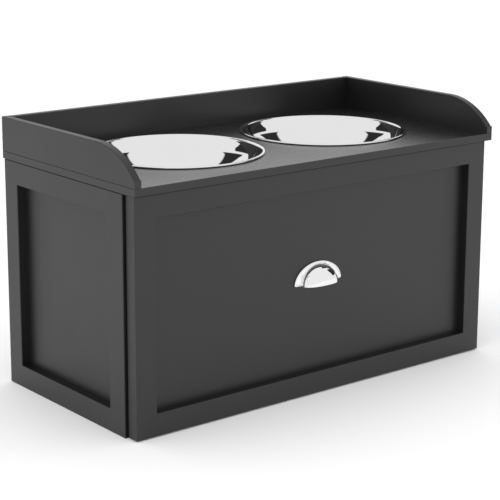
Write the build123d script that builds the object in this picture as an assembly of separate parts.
from build123d import *
import os
from math import cos, radians, sin, sqrt

# Elevated dog feeder: a framed cabinet with a gallery top, two lift-out bowls and one deep drawer.
# Millimetres. +X runs to the right, -Y is the front, +Z is up. The origin is on the floor, under the
# middle of the top board.

# --- driving dimensions -------------------------------------------------------------------------
WIDTH, DEPTH, HEIGHT = 600.0, 300.0, 360.0
TOP_T = 10.0                    # top board
TOP_Z = 315.0                   # upper face of the top board
GALLERY_T = 9.6
LEDGE_Z, LEDGE_D = 324.8, 2.0   # little step at the front end of each side gallery
GALLERY_R = 103.0               # curve of the side gallery's front end
EASE = 0.6                      # eased edges of the painted boards

FRAME_T = 18.0                  # stiles and rails
PANEL_T = 6.0                   # inset panels, flush with the back of their frame
REBATE = 8.0                    # how far a panel reaches behind its frame
TENON = (6.0, 20.0, 5.0)        # tenon thickness, length, and shoulder above and below
SIDE_INSET = 1.2                # side panels stand this far inside the top board
SIDE_FRONT_Y = -121.5
SIDE_REAR_Y = DEPTH / 2 - SIDE_INSET
REAR_STILE, FRONT_STILE = 30.0, 32.0
SIDE_LOW_RAIL, SIDE_TOP_RAIL = 30.0, 31.0

FRONT_W = 590.6                 # drawer front
FRONT_Y = -142.1                # its front face
FRONT_LOW_Z, FRONT_TOP_Z = 1.5, 303.0
FRONT_STILE_W, FRONT_RAIL_W = 30.0, 29.0

BACK_T, BACK_GROOVE, BACK_LOW_Z = 5.0, 8.0, 12.0
BACK_Y = 135.0                  # front face of the back panel
STRETCH_T, STRETCH_H = 15.0, 40.0
LOW_STRETCH_Z = (2.0, 27.0)

BOWL_X, BOWL_Y = 126.0, 7.0     # bowl centres
BOWL_RIM_R = 116.0
BOWL_THROAT_R = 110.4           # inside radius where the wall meets the rounding of the rim
BOWL_DEPTH = 55.0               # from the top of the rim to the underside
BOWL_DRAFT = 16.0               # slope of the wall below the rim, from the vertical
BOWL_WALL_R = 40.0              # inside radius of the upper wall
BOWL_TURN = 47.0                # slope, from the vertical, where the upper wall runs into the dish
BOWL_SHEET = 1.0
CUTOUT_R = 112.0

SIDE_SPACE = 12.7               # room for one runner beside the drawer
DRAWER_BOARD_T = 12.0
DRAWER_Z = (31.0, 221.0)        # lower and upper edge of the drawer box
DRAWER_REAR_Y = 124.0
DRAWER_BOTTOM_T, DRAWER_BOTTOM_UP, DADO = 5.0, 8.0, 5.0
SHOULDER_Z = 62.0               # the inner front widens above the runners

RUNNER_SHEET = 1.2
RUNNER_Z = 33.0                 # running surface of the cabinet runner
RUNNER_H = 26.0                 # clear height inside the runner
RUNNER_DEPTH = 10.5             # how far its flanges reach towards the drawer
RUNNER_Y = (-120.0, 130.0)
RUNNER_SCREW_Y = (-94.0, 126.0)
ROLLER_R, ROLLER_BORE_R, AXLE_R = 11.0, 2.05, 2.0
ROLLER_GAP = 0.3
FRONT_ROLLER_Y, REAR_ROLLER_Y = -109.0, 112.0

PULL_W, PULL_H = 81.0, 29.4     # flange of the cup pull
PULL_CORNER, BEAD_R = 2.6, 1.2  # its lower corners and the bead along its edge
CUP_A, CUP_H, CUP_D = 31.2, 25.0, 19.8
CUP_ROOT = 3.0                  # straight root of the cup, before it rounds over
PULL_Z = 147.6
PULL_SHEET = 1.8

SIDE_X = WIDTH / 2 - SIDE_INSET             # outer face of a side
INNER_X = SIDE_X - FRAME_T                  # inner face of a side
TOP_LOW_Z = TOP_Z - TOP_T
FRONT_BACK_Y = FRONT_Y + FRAME_T
FRONT_PANEL_Y = FRONT_BACK_Y - PANEL_T      # front face of the drawer front's panel
BOX_X = INNER_X - SIDE_SPACE                # outer face of a drawer side
BOX_FRONT_Y = FRONT_BACK_Y + DRAWER_BOARD_T
ROLLER_Z = RUNNER_Z + ROLLER_GAP + ROLLER_R
LOW = (Align.MIN, Align.MIN, Align.MIN)


# --- small helpers ------------------------------------------------------------------------------
def slab(x, y, z):
    """A box from three (low, high) pairs."""
    size = (x[1] - x[0], y[1] - y[0], z[1] - z[0])
    return Pos(x[0], y[0], z[0]) * Box(*size, align=LOW)


def rod(radius, start, end):
    """A round bar between two points."""
    axis = Vector(*end) - Vector(*start)
    plane = Plane(origin=start, z_dir=axis)
    return plane * Cylinder(radius, axis.length, align=(Align.CENTER, Align.CENTER, Align.MIN))


def flip(shape):
    """The same shape on the other side of the feeder."""
    return mirror(shape, about=Plane.YZ)


def both(shape):
    """The shape and its mirror image, as separate solids."""
    return [shape, flip(shape)]


def group(solids):
    """Separate solids that share one node."""
    flat = []
    for item in solids:
        flat += list(item.solids())
    return Compound(children=flat)


def save(node, shape):
    solids = shape.solids()
    whole = solids[0] if len(solids) == 1 else Compound(children=list(solids))
    whole.label = node
    export_step(whole, f"parts/{node}.step")


def screw(tip, head, shank_r, head_r, head_t, countersunk=True):
    """A screw from its tip to the outer face of its head."""
    axis = Vector(*head) - Vector(*tip)
    length = axis.length
    plane = Plane(origin=tip, z_dir=axis)
    point = 1.5 * shank_r
    points = [(0, 0), (shank_r, point), (shank_r, length - head_t), (head_r, length), (0, length)]
    if not countersunk:
        points.insert(3, (head_r, length - head_t))
    body = revolve(Plane.XZ * make_face(Polyline(*points, close=True)), Axis.Z)
    recess = Pos(0, 0, length) * (Box(head_r, 0.9, head_t * 1.2) + Box(0.9, head_r, head_t * 1.2))
    return plane * (body - recess)


def screw_hole(tip, head, shank_r, head_r, head_t):
    """The space a countersunk screw fills, without its driver recess."""
    axis = Vector(*head) - Vector(*tip)
    length = axis.length
    plane = Plane(origin=tip, z_dir=axis)
    outline = Polyline(
        (0, 0), (shank_r, 1.5 * shank_r), (shank_r, length - head_t), (head_r, length), (0, length),
        close=True,
    )
    return plane * revolve(Plane.XZ * make_face(outline), Axis.Z)


# --- framed panels: two stiles, two rails, one inset panel -----------------------------------------
def framed_panel(width, height, stiles, rails):
    """Local frame: x across, z up, front face at y = 0. Returns the five pieces by name."""
    left_w, right_w = stiles
    low_h, top_h = rails
    opening_x = (left_w, width - right_w)
    opening_z = (low_h, height - top_h)
    blank = slab((0, width), (0, FRAME_T), (0, height)) - slab(opening_x, (0, FRAME_T), opening_z)
    blank = chamfer(blank.faces().sort_by(Axis.Y)[0].edges(), EASE)
    behind_x = (opening_x[0] - REBATE, opening_x[1] + REBATE)
    behind_z = (opening_z[0] - REBATE, opening_z[1] + REBATE)
    panel = slab(behind_x, (FRAME_T - PANEL_T, FRAME_T), behind_z)
    blank -= panel

    thick, length, shoulder = TENON
    tenon_y = (FRAME_T - PANEL_T - thick - 3, FRAME_T - PANEL_T - 3)
    pieces = {"panel": panel}
    tenons = []
    for name, (z0, z1) in {"bottom_rail": (0, low_h), "top_rail": (height - top_h, height)}.items():
        tenon_z = (z0 + shoulder, z1 - shoulder)
        ends = [
            slab((opening_x[0] - length, opening_x[0]), tenon_y, tenon_z),
            slab((opening_x[1], opening_x[1] + length), tenon_y, tenon_z),
        ]
        pieces[name] = (blank & slab(opening_x, (0, FRAME_T), (z0, z1))) + ends
        tenons += ends
    pieces["first_stile"] = (blank & slab((0, left_w), (0, FRAME_T), (0, height))) - tenons
    pieces["last_stile"] = (blank & slab((width - right_w, width), (0, FRAME_T), (0, height))) - tenons
    return pieces


# --- knock-down joints at the stretcher ends --------------------------------------------------------
def cam_joint(y, z, inward):
    """One cam lock and cam bolt at the right-hand end of a stretcher. inward is the y direction of
    the face that the cam is dropped into. Returns cam, bolt, and the two hole shapes."""
    cam_x = INNER_X - 24.0
    face_y = y + inward * STRETCH_T / 2
    outline = Polyline(
        (0, -11), (2.4, -11), (3.0, -9.5), (3.0, 0), (3.8, 0), (3.8, 3), (2.2, 3), (2.2, 20),
        (3.4, 20), (3.4, 24), (0, 24), close=True,
    )
    bolt = Plane(origin=(INNER_X, y, z), z_dir=(-1, 0, 0)) * revolve(Plane.XZ * make_face(outline), Axis.Z)
    stile_hole = rod(3.1, (INNER_X + 11.1, y, z), (INNER_X, y, z))
    end_hole = rod(4.0, (INNER_X, y, z), (cam_x, y, z))
    cam_hole = rod(7.5, (cam_x, face_y, z), (cam_x, face_y - inward * 12.5, z))
    slots = Box(9, 2, 1.2) + Box(1.2, 2, 9)
    cam = cam_hole - rod(3.8, (INNER_X, y, z), (cam_x - 3, y, z)) - Pos(cam_x, face_y, z) * slots
    return cam, bolt, stile_hole, end_hole + cam_hole


def dowel_joint(y, z):
    return rod(4.0, (INNER_X + 10, y, z), (INNER_X - 18, y, z))


# --- bowls --------------------------------------------------------------------------------------------
def bowl():
    """Spun sheet bowl: rolled rim, flat flange, rounded wall, flat base. Centred on the Z axis."""
    rim_top = TOP_Z + 2.6
    curl_r = 1.3                                    # outside radius of the rolled edge
    shoulder_r = 2.2                                # where the wall turns into the flange
    draft, turn = radians(BOWL_DRAFT), radians(BOWL_TURN)
    curl_x = BOWL_RIM_R - curl_r
    shoulder_x, shoulder_z = BOWL_THROAT_R + shoulder_r * cos(draft), rim_top - shoulder_r
    wall_x = BOWL_THROAT_R - BOWL_WALL_R * cos(draft)
    wall_z = shoulder_z + (shoulder_r + BOWL_WALL_R) * sin(draft)
    floor_z = rim_top - BOWL_DEPTH + BOWL_SHEET
    dish_r = (wall_z - BOWL_WALL_R * sin(turn) - floor_z) / (1 - sin(turn))
    dish_x = wall_x + (BOWL_WALL_R - dish_r) * cos(turn)

    def sheet_line(grow):
        """One face of the sheet, from the axis out to the flange; the outer face is grown by the sheet."""
        return [
            Line((0, floor_z - grow), (dish_x, floor_z - grow)),
            CenterArc((dish_x, floor_z + dish_r), dish_r + grow, -90, 90 - BOWL_TURN),
            CenterArc((wall_x, wall_z), BOWL_WALL_R + grow, -BOWL_TURN, BOWL_TURN - BOWL_DRAFT),
            CenterArc((shoulder_x, shoulder_z), shoulder_r - grow, 180 - BOWL_DRAFT, BOWL_DRAFT - 90),
        ]

    inside, outside = sheet_line(0), sheet_line(BOWL_SHEET)
    rolled = CenterArc((curl_x, rim_top - curl_r), curl_r, 90, -180)
    tuck_x = curl_x - 1.0
    flange = [
        Line(inside[-1] @ 1, (curl_x, rim_top)),
        rolled,
        Line(rolled @ 1, (tuck_x, rim_top - 2 * curl_r)),
        Line((tuck_x, rim_top - 2 * curl_r), (tuck_x, rim_top - BOWL_SHEET)),
        Line((tuck_x, rim_top - BOWL_SHEET), outside[-1] @ 1),
    ]
    close = Line(outside[0] @ 0, inside[0] @ 0)
    profile = make_face(Wire(inside + flange + outside + [close]))
    return revolve(Plane.XZ * profile, Axis.Z)


# --- runners ----------------------------------------------------------------------------------------
def cabinet_runner():
    """Right-hand C-shaped runner with the riveted axle of the front roller."""
    x_web, x_lip = INNER_X, INNER_X - RUNNER_DEPTH
    z_low, z_high = RUNNER_Z - RUNNER_SHEET, RUNNER_Z + RUNNER_H + RUNNER_SHEET
    channel = slab((x_lip, x_web), RUNNER_Y, (z_low, z_high))
    outer = channel.edges().filter_by(Axis.Y).sort_by(Axis.X)[-2:]
    channel = fillet(outer, 2.0)
    hollow = slab((x_lip, x_web - RUNNER_SHEET), RUNNER_Y, (RUNNER_Z, RUNNER_Z + RUNNER_H))
    inner = hollow.edges().filter_by(Axis.Y).sort_by(Axis.X)[-2:]
    channel -= fillet(inner, 0.8)
    # the upper flange starts behind the front roller, with a slanted lead-in
    mouth = Polyline(
        (RUNNER_Y[0], RUNNER_Z + RUNNER_H - 6), (RUNNER_Y[0] + 22, RUNNER_Z + RUNNER_H - 6),
        (RUNNER_Y[0] + 34, z_high + 1), (RUNNER_Y[0], z_high + 1), close=True,
    )
    channel -= Pos(INNER_X + 1, 0, 0) * extrude(Plane.YZ * make_face(mouth), -RUNNER_DEPTH - 2)
    # raised stop at the front, just behind the roller
    stop_y = FRONT_ROLLER_Y + ROLLER_R + 2
    stop = slab((x_lip, x_web - 5), (stop_y, stop_y + 1.5), (RUNNER_Z, RUNNER_Z + 2))
    return channel + axle(INNER_X - RUNNER_SHEET, INNER_X - 10.6, FRONT_ROLLER_Y)


def axle(x_plate, x_end, y):
    """Riveted axle from a runner's plate to its domed head."""
    side = 1 if x_end > x_plate else -1
    pin = rod(AXLE_R, (x_plate, y, ROLLER_Z), (x_end, y, ROLLER_Z))
    head = rod(3.5, (x_end - side * 0.7, y, ROLLER_Z), (x_end, y, ROLLER_Z))
    return pin + head


def drawer_runner():
    """Right-hand drawer runner: foot under the drawer side, web, and the flange that runs on the
    front roller, with the riveted axle of the rear roller."""
    t = RUNNER_SHEET
    y_range = (FRONT_BACK_Y + 1, DRAWER_REAR_Y + 1)
    z_foot = DRAWER_Z[0]
    z_flange = ROLLER_Z + ROLLER_R + ROLLER_GAP
    outline = Polyline(
        (BOX_X - 11, z_foot - t), (BOX_X + t, z_foot - t), (BOX_X + t, z_flange),
        (INNER_X - 2.5, z_flange), (INNER_X - 2.5, z_flange + t), (BOX_X, z_flange + t),
        (BOX_X, z_foot), (BOX_X - 11, z_foot), close=True,
    )
    face = make_face(outline)
    body = Pos(0, y_range[1], 0) * extrude(Plane.XZ * face, y_range[1] - y_range[0])
    return body + axle(BOX_X + t, INNER_X - 2.6, REAR_ROLLER_Y)


def roller(x0, x1, y):
    """Nylon roller with rounded shoulders and a sunk web, around its axle."""
    width = x1 - x0
    sunk = 1.4
    outline = Polyline(
        (ROLLER_BORE_R, 0), (4.2, 0), (4.6, sunk), (8.4, sunk), (8.8, 0), (ROLLER_R - 0.8, 0),
        (ROLLER_R, 0.8), (ROLLER_R, width - 0.8), (ROLLER_R - 0.8, width), (8.8, width),
        (8.4, width - sunk), (4.6, width - sunk), (4.2, width), (ROLLER_BORE_R, width), close=True,
    )
    wheel = revolve(Plane.XZ * make_face(outline), Axis.Z)
    return Plane(origin=(x0, y, ROLLER_Z), z_dir=(1, 0, 0)) * wheel


# --- cup pull -----------------------------------------------------------------------------------------
def cup_pull():
    """Cast half-moon pull: rounded cup, open below, on a stepped arched flange with a beaded edge,
    with a rolled lip and two tapped posts inside."""
    front = Plane(origin=(0, 0, 0), x_dir=(1, 0, 0), z_dir=(0, -1, 0))

    def cup_solid(grow):
        """The cup as a full round: a straight elliptical root that ends in half an ellipsoid."""
        a, d, h = CUP_A + grow, CUP_D - CUP_ROOT + grow, CUP_H + grow
        nose = Pos(0, -CUP_ROOT, 0) * scale(Sphere(10), by=(a / 10, d / 10, h / 10))
        root = extrude(front * Pos(0, 0, -5) * Ellipse(a, h), CUP_ROOT + 5)
        return root + (nose & slab((-60, 60), (-60, -CUP_ROOT), (-60, 60)))

    def arch(half_w, height, low=0.0):
        bounds = Pos(0, low) * Rectangle(2 * half_w, 2 * height, align=(Align.CENTER, Align.MIN))
        return Ellipse(half_w, height) & bounds

    keep = slab((-60, 60), (-40, 0), (0, 60))
    plate = arch(PULL_W / 2 - BEAD_R, PULL_H - BEAD_R, BEAD_R)
    plate = fillet(plate.vertices().group_by(Axis.Y)[0], PULL_CORNER)
    edges = plate.edges().sort_by(Axis.Y)
    bead_line = Wire([front * e for e in edges[1:]])
    bead = sweep(Plane(origin=bead_line @ 0, z_dir=bead_line % 0) * Circle(BEAD_R), path=bead_line)
    flange = extrude(front * plate, 1.7) + extrude(front * arch(CUP_A, CUP_H), 1.7)
    flange += extrude(front * arch(CUP_A + 3.2, CUP_H + 2.4), 2.3)
    lip_line = EllipticalCenterArc((0, 0), CUP_A - 1.0, CUP_D - 1.3, start_angle=180, arc_size=180)
    lip = sweep(Plane(origin=lip_line @ 0, z_dir=lip_line % 0) * Circle(1.2), path=lip_line)
    body = flange + (Pos(0, -1.2, 0) * bead) + (cup_solid(0) & keep)
    body -= cup_solid(-PULL_SHEET) & slab((-60, 60), (-40, 5), (-1, 60))
    body += Pos(0, 0, 1.2) * lip & keep
    posts = [rod(3.6, (s * 22, 0, 10), (s * 22, -11, 10)) & cup_solid(-0.5) for s in (-1, 1)]
    body += posts
    holes = [rod(2.0, (s * 22, 0.1, 10), (s * 22, -6.5, 10)) for s in (-1, 1)]
    return Pos(0, FRONT_PANEL_Y, PULL_Z) * (body - holes)


# --- assembly -------------------------------------------------------------------------------------------
def build_top(parts):
    board = slab((-WIDTH / 2, WIDTH / 2), (-DEPTH / 2, DEPTH / 2), (TOP_LOW_Z, TOP_Z))
    front_edges = board.edges().filter_by(Axis.X).sort_by(Axis.Y)[:2]
    board = chamfer(front_edges, EASE)
    for side in (-1, 1):
        cut = Pos(side * BOWL_X, BOWL_Y, TOP_LOW_Z - 1) * Cylinder(
            CUTOUT_R, TOP_T + 2, align=(Align.CENTER, Align.CENTER, Align.MIN))
        board -= cut

    rise = HEIGHT - LEDGE_Z
    run = sqrt(GALLERY_R ** 2 - (GALLERY_R - rise) ** 2)
    y0 = -DEPTH / 2
    y_curve = y0 + LEDGE_D
    y_top = y_curve + run
    half = GALLERY_R * 0.5
    mid = (y_top - half, HEIGHT - GALLERY_R + sqrt(GALLERY_R ** 2 - half ** 2))
    outline = [
        Line((y0, TOP_Z), (y0, LEDGE_Z)),
        Line((y0, LEDGE_Z), (y_curve, LEDGE_Z)),
        ThreePointArc((y_curve, LEDGE_Z), mid, (y_top, HEIGHT)),
        Line((y_top, HEIGHT), (-y0, HEIGHT)),
        Line((-y0, HEIGHT), (-y0, TOP_Z)),
        Line((-y0, TOP_Z), (y0, TOP_Z)),
    ]
    cheek = extrude(Plane.YZ * make_face(Wire(outline)), GALLERY_T)
    right = Pos(WIDTH / 2 - GALLERY_T, 0, 0) * cheek
    long_edges = right.edges().filter_by(lambda e: e.center().Z > LEDGE_Z + 1 and e.length > 20)
    right = chamfer(long_edges, EASE)
    back_x = WIDTH / 2 - GALLERY_T
    back = slab((-back_x, back_x), (DEPTH / 2 - GALLERY_T, DEPTH / 2), (TOP_Z, HEIGHT))
    back = chamfer(back.edges().filter_by(Axis.X).sort_by(Axis.Z)[-2:], EASE)

    spots = [(s * (WIDTH / 2 - GALLERY_T / 2), y) for s in (-1, 1) for y in (-105.0, 0.0, 105.0)]
    spots += [(x, DEPTH / 2 - GALLERY_T / 2) for x in (-190.0, 0.0, 190.0)]
    screws = []
    for x, y in spots:
        ends = ((x, y, TOP_Z + 20), (x, y, TOP_LOW_Z))
        hole = screw_hole(*ends, 1.75, 3.5, 2.2)
        screws.append(screw(*ends, 1.75, 3.5, 2.2))
        board -= hole
        back -= hole
        right -= hole
    parts["top_board"] = board
    parts["gallery_back"] = back
    parts["gallery_right"] = right
    parts["gallery_left"] = flip(right)
    parts["gallery_screws"] = group(screws)


def build_sides(parts):
    length = SIDE_REAR_Y - SIDE_FRONT_Y
    pieces = framed_panel(length, TOP_LOW_Z, (FRONT_STILE, REAR_STILE), (SIDE_LOW_RAIL, SIDE_TOP_RAIL))
    place = Pos(SIDE_X, SIDE_FRONT_Y, 0) * Rot(0, 0, 90)
    names = {"first_stile": "front_stile", "last_stile": "rear_stile"}
    for key, piece in pieces.items():
        parts[f"right_{names.get(key, key)}"] = place * piece


def build_back_and_stretchers(parts):
    """Stretchers between the sides, their fittings, and the back panel in its grooves."""
    reach = INNER_X + BACK_GROOVE
    back = slab((-reach, reach), (BACK_Y, BACK_Y + BACK_T), (BACK_LOW_Z, TOP_LOW_Z))
    parts["back_panel"] = back
    parts["right_rear_stile"] -= back

    front_y = (SIDE_FRONT_Y, SIDE_FRONT_Y + STRETCH_T)
    rear_y = (BACK_Y - STRETCH_T, BACK_Y)
    high_z = (TOP_LOW_Z - STRETCH_H, TOP_LOW_Z)
    layout = {
        "front_upper_stretcher": (front_y, high_z, 1),
        "front_lower_stretcher": (front_y, LOW_STRETCH_Z, 1),
        "rear_stretcher": (rear_y, high_z, -1),
    }
    cams, bolts, dowels = [], [], []
    for name, (y_range, z_range, inward) in layout.items():
        bar = slab((-INNER_X, INNER_X), y_range, z_range)
        y = sum(y_range) / 2
        cam, bolt, stile_hole, bar_hole = cam_joint(y, z_range[0] + 8.0, inward)
        dowel = dowel_joint(y, z_range[1] - 5.5)
        bar -= both(bar_hole) + both(dowel)
        parts[name] = bar
        for piece in ("right_front_stile", "right_rear_stile", "right_top_rail", "right_panel"):
            parts[piece] -= [stile_hole, dowel]
        cams += both(cam)
        bolts += both(bolt)
        dowels += both(dowel)
    parts["cam_locks"] = group(cams)
    parts["cam_bolts"] = group(bolts)
    parts["dowels"] = group(dowels)


def build_brackets(parts):
    """Four angle brackets between the sides and the underside of the top."""
    leg, wide, sheet = 22.0, 18.0, 2.0
    brackets, screws = [], []
    for y in (-70.0, 84.0):
        x, z = INNER_X, TOP_LOW_Z
        y_range = (y - wide / 2, y + wide / 2)
        body = slab((x - leg, x), y_range, (z - leg, z))
        hollow = slab((x - leg, x - sheet), y_range, (z - leg, z - sheet))
        bend = hollow.edges().filter_by(Axis.Y).sort_by(lambda e: e.center().X + e.center().Z)[-1]
        body -= fillet(bend, 3.0)
        corners = body.edges().filter_by(Axis.Z).group_by(Axis.X)[0] + body.edges().filter_by(
            Axis.X).group_by(Axis.Z)[0]
        body = fillet(corners, 3.0)
        up = ((x - 14, y, z + 8), (x - 14, y, z - sheet - 1.8))
        across = ((x + 12, y, z - 14), (x - sheet - 1.8, y, z - 14))
        for ends in (up, across):
            shank = rod(2.0, *ends)
            body -= shank
            for name in ("top_board", "right_top_rail"):
                parts[name] -= screw_hole(*ends, 2.0, 2.0, 1.8)
            screws += both(screw(*ends, 2.0, 3.6, 1.8, countersunk=False))
        parts["top_board"] -= flip(screw_hole(*up, 2.0, 2.0, 1.8))
        brackets += both(body)
    parts["corner_brackets"] = group(brackets)
    parts["bracket_screws"] = group(screws)


def build_runners(parts):
    runner, member = cabinet_runner(), drawer_runner()
    cabinet_screws, drawer_screws = [], []
    for y in RUNNER_SCREW_Y:
        z = RUNNER_Z + RUNNER_H / 2
        ends = ((INNER_X + 13, y, z), (INNER_X - RUNNER_SHEET - 1.5, y, z))
        hole = screw_hole(*ends, 1.75, 1.75, 1.5)
        runner -= hole
        for piece in ("right_front_stile", "right_rear_stile", "right_panel"):
            parts[piece] -= hole
        cabinet_screws += both(screw(*ends, 1.75, 3.4, 1.5, countersunk=False))
    for y in (-80.0, 5.0, 90.0):
        x, z = BOX_X - DRAWER_BOARD_T / 2, DRAWER_Z[0]
        ends = ((x, y, z + 7), (x, y, z - RUNNER_SHEET))
        hole = screw_hole(*ends, 1.75, 2.9, RUNNER_SHEET)
        member -= hole
        parts["drawer_right_side"] -= hole
        drawer_screws += both(screw(*ends, 1.75, 2.9, RUNNER_SHEET))
    parts["right_cabinet_slide"] = runner
    parts["right_drawer_slide"] = member
    parts["cabinet_slide_screws"] = group(cabinet_screws)
    parts["drawer_slide_screws"] = group(drawer_screws)
    parts["right_front_roller"] = roller(INNER_X - 9.5, INNER_X - 2.0, FRONT_ROLLER_Y)
    parts["right_rear_roller"] = roller(INNER_X - 10.8, INNER_X - 3.8, REAR_ROLLER_Y)


def build_drawer_front(parts):
    height = FRONT_TOP_Z - FRONT_LOW_Z
    pieces = framed_panel(
        FRONT_W, height, (FRONT_STILE_W, FRONT_STILE_W), (FRONT_RAIL_W, FRONT_RAIL_W))
    place = Pos(-FRONT_W / 2, FRONT_Y, FRONT_LOW_Z)
    names = {"first_stile": "left_stile", "last_stile": "right_stile"}
    for key, piece in pieces.items():
        parts[f"front_{names.get(key, key)}"] = place * piece


def build_drawer_box(parts):
    t = DRAWER_BOARD_T
    z0, z1 = DRAWER_Z
    inside_x = BOX_X - t
    wide_x = INNER_X - 2.3
    bottom_z = (z0 + DRAWER_BOTTOM_UP, z0 + DRAWER_BOTTOM_UP + DRAWER_BOTTOM_T)
    back_y = (DRAWER_REAR_Y - 6 - t, DRAWER_REAR_Y - 6)

    inner = slab((-BOX_X, BOX_X), (FRONT_BACK_Y, BOX_FRONT_Y), (z0, z1))
    inner += slab((-wide_x, wide_x), (FRONT_BACK_Y, BOX_FRONT_Y), (SHOULDER_Z, z1))
    side = slab((inside_x, BOX_X), (BOX_FRONT_Y, DRAWER_REAR_Y), (z0, z1))
    back = slab((-inside_x - DADO, inside_x + DADO), back_y, (z0, z1))
    bottom = slab(
        (-inside_x - DADO, inside_x + DADO), (BOX_FRONT_Y - DADO, back_y[0] + DADO), bottom_z)

    box_screws = []
    for z in (z0 + 25, (z0 + z1) / 2, z1 - 25):
        ends = ((BOX_X - t / 2, BOX_FRONT_Y + 20, z), (BOX_X - t / 2, FRONT_BACK_Y, z))
        hole = screw_hole(*ends, 1.75, 3.4, 2.0)
        inner -= both(hole)
        side -= hole
        box_screws += both(screw(*ends, 1.75, 3.4, 2.0))

    front_screws = []
    for z in (80.0, 140.0, 200.0):
        x = wide_x - 6.0
        ends = ((x, FRONT_BACK_Y - 14, z), (x, BOX_FRONT_Y, z))
        hole = screw_hole(*ends, 1.75, 3.4, 2.0)
        for piece in ("front_panel", "front_right_stile", "front_left_stile"):
            parts[piece] -= both(hole)
        inner -= both(hole)
        front_screws += both(screw(*ends, 1.75, 3.4, 2.0))

    pull_screws = []
    for side_x in (-22.0, 22.0):
        z = PULL_Z + 10
        ends = ((side_x, FRONT_PANEL_Y - 6.0, z), (side_x, BOX_FRONT_Y + 2.2, z))
        hole = rod(2.2, *ends)
        inner -= hole
        parts["front_panel"] -= hole
        pull_screws.append(screw(*ends, 2.0, 4.0, 2.2, countersunk=False))

    parts["drawer_inner_front"] = inner - bottom
    parts["drawer_right_side"] = side - back - bottom
    parts["drawer_back"] = back - bottom
    parts["drawer_bottom"] = bottom
    parts["drawer_box_screws"] = group(box_screws)
    parts["front_screws"] = group(front_screws)
    parts["pull_screws"] = group(pull_screws)
    parts["cup_pull"] = cup_pull()


def build_bowls(parts):
    shape = bowl()
    parts["left_bowl"] = Pos(-BOWL_X, BOWL_Y, 0) * shape
    parts["right_bowl"] = Pos(BOWL_X, BOWL_Y, 0) * shape


def mirror_right_hand(parts):
    """Every right-hand piece of a pair gives its left-hand twin."""
    for node in list(parts):
        twin = node.replace("right_", "left_")
        if "right_" in node and twin not in parts:
            parts[twin] = flip(parts[node])


def main():
    os.makedirs("parts", exist_ok=True)
    parts = {}
    build_top(parts)
    build_sides(parts)
    build_back_and_stretchers(parts)
    build_brackets(parts)
    build_drawer_front(parts)
    build_drawer_box(parts)
    build_runners(parts)
    build_bowls(parts)
    mirror_right_hand(parts)
    for node, shape in parts.items():
        save(node, shape)
    print(len(parts), "nodes")


main()
